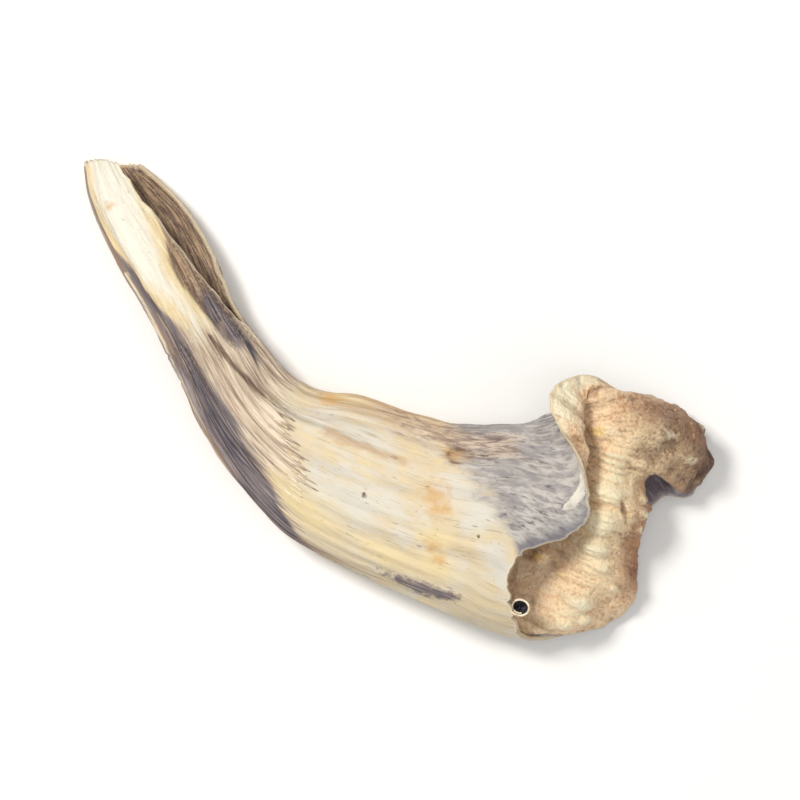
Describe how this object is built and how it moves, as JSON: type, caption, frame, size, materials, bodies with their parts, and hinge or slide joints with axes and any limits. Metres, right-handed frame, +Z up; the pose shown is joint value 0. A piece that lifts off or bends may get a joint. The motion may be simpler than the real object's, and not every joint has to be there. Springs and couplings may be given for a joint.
{
  "type": "dried black trumpet mushroom",
  "caption": "Dried trumpet-shaped mushroom lying on its side: bent hollow stem torn open lengthwise, flattened bell and a wavy rolled-back lip; rests on a surface as food or decoration.",
  "frame": {"origin": "centre of the bounding box in plan, on the surface that the mushroom lies on", "axes": "+X along the chord from the cut stem end to the lip, +Y to the side that the rolled-back lobe is on, +Z up"},
  "size_m": [0.0674, 0.0312, 0.0133],
  "materials": {
    "dried_flesh": "matt, dry, finely streaked"
  },
  "bodies": {
    "root": {"trumpet_mushroom": "dried_flesh"}
  },
  "joints": []
}
